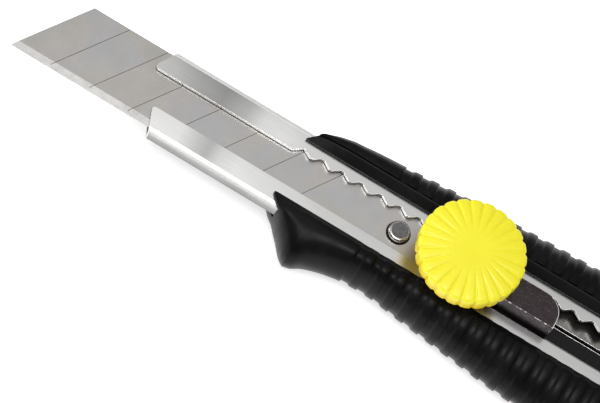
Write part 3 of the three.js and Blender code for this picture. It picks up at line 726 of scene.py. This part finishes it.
def buildWheel(shape, name):
    centre = (wheelLow + wheelHigh) / 2
    radius = (wheelHigh.x - wheelLow.x) / 2
    low, top = wheelLow.z, wheelHigh.z
    count = shape["flutes"] * shape["perFlute"]
    leaveEditMode()
    bpy.ops.object.select_all(action="DESELECT")
    bpy.ops.mesh.primitive_cylinder_add(vertices=count, radius=shape["hub"], depth=shape["rimUnder"],
                                        location=(centre.x, centre.y, low + shape["rimUnder"] / 2))
    piece = bpy.context.active_object
    piece.name = name
    bpy.ops.object.transform_apply(location=True, rotation=True, scale=True)

    def drawTo(fromRadius, toRadius, rise, z):
        bpy.ops.mesh.extrude_region_move(TRANSFORM_OT_translate={"value": (0, 0, rise)})
        factor = toRadius / fromRadius
        bpy.ops.transform.resize(value=(factor, factor, 1), center_override=(centre.x, centre.y, z + rise))

    selectFaces(piece, lambda place, normal: normal.z > 0.9)
    at, z = shape["hub"], low + shape["rimUnder"]
    for inset, under, _ in shape["rings"]:
        ring, height = radius - inset * mm, top - under * mm
        drawTo(at, ring, height - z, z)
        at, z = ring, height
    drawTo(at, at * shape["middle"], 0, z)
    bpy.ops.mesh.poke()
    selectFaces(piece, lambda place, normal: normal.z < -0.9 and place.z < low + 0.01 * mm)
    at, z = shape["hub"], low
    for toRadius, rise in ((shape["insertRoom"], 0), (shape["insertRoom"], shape["insertDeep"]),
                           (shape["studRoom"], 0), (shape["studRoom"], shape["studDeep"])):
        drawTo(at, toRadius, rise, z)
        at, z = toRadius, z + rise
    bpy.ops.mesh.poke()

    for inset, under, share in shape["rings"]:
        if share == 0:
            continue
        ring, height = radius - inset * mm, top - under * mm
        onTop = under < shape["topBand"]
        for step in range(shape["perFlute"] // 2):
            fall = (1 - math.sin(math.pi * step / shape["perFlute"])) ** shape["sharpness"] * share

            def atStep(place):
                if abs(place.z - height) > 0.01 * mm:
                    return False
                side = math.hypot(place.x - centre.x, place.y - centre.y)
                turn = math.atan2(place.y - centre.y, place.x - centre.x) / (2 * math.pi) * count
                k = round(turn) % shape["perFlute"]
                return abs(side - ring) < 0.02 * mm and min(k, shape["perFlute"] - k) == step

            selectPoints(piece, atStep)
            if onTop:
                bpy.ops.transform.translate(value=(0, 0, -shape["topDepth"] * fall))
            pinch = shape["depth"] * fall * (0.5 if onTop else 1)
            factor = (ring - pinch) / ring
            if under > shape["crownBand"]:
                middle = (centre.x, centre.y, height)
                bpy.ops.transform.resize(value=(factor, factor, 1), center_override=middle)
    leaveEditMode()
    applyModifier(piece, "SUBSURF", levels=1, render_levels=1)
    smoothBelow(piece, 60)
    return piece


lockWheel = buildWheel(wheelShape, "flutedWheel")
addFinishes(lockWheel, "wheelPlastic")
finishPiece(lockWheel, "wheel", "wheel_yellow", "lock_wheel")
print("wheel ready")


# Frame nodes that keep their own shape and take a finish

def paintNode(node, finishName):
    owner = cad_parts[node]
    if not owner.material_slots:
        owner.data.materials.append(made[finishName])
    owner.material_slots[0].material = made[finishName]


for rivet in range(1, 5):
    paintNode(f"channel_rivet_{rivet}", "zincSteel")
for node in ("clamp_stud", "lock_plate", "wheel_washer"):
    paintNode(node, "zincSteel")
paintNode("carrier_plate", "coverSteel")
paintNode("wheel_insert", "turnedBrass")
print("hidden fittings ready")


# Lift spring: a wavy ring that the clamp presses flat as the wheel is turned tight; its copy keeps the shape
# of the frame node

liftSpring = copyOf("lift_spring", "liftSpring")
smoothBelow(liftSpring, 50)
addFinishes(liftSpring, "springSteel")
finishPiece(liftSpring, "slider", "spring_steel", "lift_spring")
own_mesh(liftSpring)
print("spring ready")


# Studio: pale floor, overhead soft box, a sky that falls off to the horizon, and the camera

studio = {
    "floorSize": 4.0, "floorColor": (0.90, 0.90, 0.90), "floorGlow": 0.62, "floorDrop": 0.02 * mm,
    "floorRoughness": 0.9, "floorSpecular": 0.1,
    "overPlace": (0.06, 0.14, 0.60), "overSize": (0.46, 0.26), "overPower": 1.85,
    "fillPlace": (0.60, 0.05, 0.17), "fillSize": (0.26, 0.12), "fillPower": 0.9,
    # brightness of the sky by the upward part of the direction, from the horizon to overhead
    "sky": [(0.0, 0.30), (0.5, 0.30), (0.8, 0.50), (0.9, 0.84), (1.0, 1.0)],
    "target": (0.0384, 0.0054, 0.011), "distance": 0.717, "lens": 200, "film": 36,
    "right": (-0.8575, -0.4584, 0.2336), "up": (0.5145, -0.7640, 0.3893), "back": (0, 0.454, 0.891),
}


def addFloor(look):
    leaveEditMode()
    bpy.ops.object.select_all(action="DESELECT")
    height = cadBounds[0][2] - look["floorDrop"]
    bpy.ops.mesh.primitive_plane_add(size=look["floorSize"], location=(0, 0, height))
    floor = bpy.context.active_object
    floor.name = "studioFloor"
    material = bpy.data.materials.new("floorPaper")
    material.use_nodes = True
    shader = material.node_tree.nodes["Principled BSDF"]
    shader.inputs["Base Color"].default_value = (*look["floorColor"], 1)
    shader.inputs["Roughness"].default_value = look["floorRoughness"]
    shader.inputs["Emission Color"].default_value = (1, 1, 1, 1)
    shader.inputs["Emission Strength"].default_value = look["floorGlow"]
    shader.inputs["Specular IOR Level"].default_value = look["floorSpecular"]
    floor.data.materials.append(material)


def addSoftBox(name, place, size, power, target):
    light = bpy.data.lights.new(name, "AREA")
    light.shape = "RECTANGLE"
    light.size, light.size_y = size
    light.energy = power
    lamp = bpy.data.objects.new(name, light)
    scene.collection.objects.link(lamp)
    lamp.location = place
    lamp.rotation_euler = (Vector(target) - Vector(place)).to_track_quat("-Z", "Y").to_euler()


def addSky(look):
    world = bpy.data.worlds.new("studioSky")
    scene.world = world
    world.use_nodes = True
    nodes, links = world.node_tree.nodes, world.node_tree.links
    place = nodes.new("ShaderNodeTexCoord")
    apart = nodes.new("ShaderNodeSeparateXYZ")
    ramp = nodes.new("ShaderNodeValToRGB")
    while len(ramp.color_ramp.elements) < len(look["sky"]):
        ramp.color_ramp.elements.new(0.5)
    for element, (height, value) in zip(ramp.color_ramp.elements, look["sky"]):
        element.position = height
        element.color = (value, value, value, 1)
    links.new(place.outputs["Generated"], apart.inputs["Vector"])
    links.new(apart.outputs["Z"], ramp.inputs["Fac"])
    links.new(ramp.outputs["Color"], nodes["Background"].inputs["Color"])


def addCamera(look):
    data = bpy.data.cameras.new("studioCamera")
    data.lens = look["lens"]
    data.sensor_width = look["film"]
    data.clip_start, data.clip_end = 0.01, 20
    camera = bpy.data.objects.new("studioCamera", data)
    scene.collection.objects.link(camera)
    right, up, back = (Vector(look[k]).normalized() for k in ("right", "up", "back"))
    place = Vector(look["target"]) + back * look["distance"]
    columns = [(*right, 0), (*up, 0), (*back, 0), (*place, 1)]
    camera.matrix_world = Matrix(columns).transposed()
    scene.camera = camera


addFloor(studio)
addSky(studio)
addSoftBox("overheadBox", studio["overPlace"], studio["overSize"], studio["overPower"],
           (studio["overPlace"][0], studio["overPlace"][1], 0))
addSoftBox("sideBox", studio["fillPlace"], studio["fillSize"], studio["fillPower"], studio["target"])
addCamera(studio)
print("studio ready")
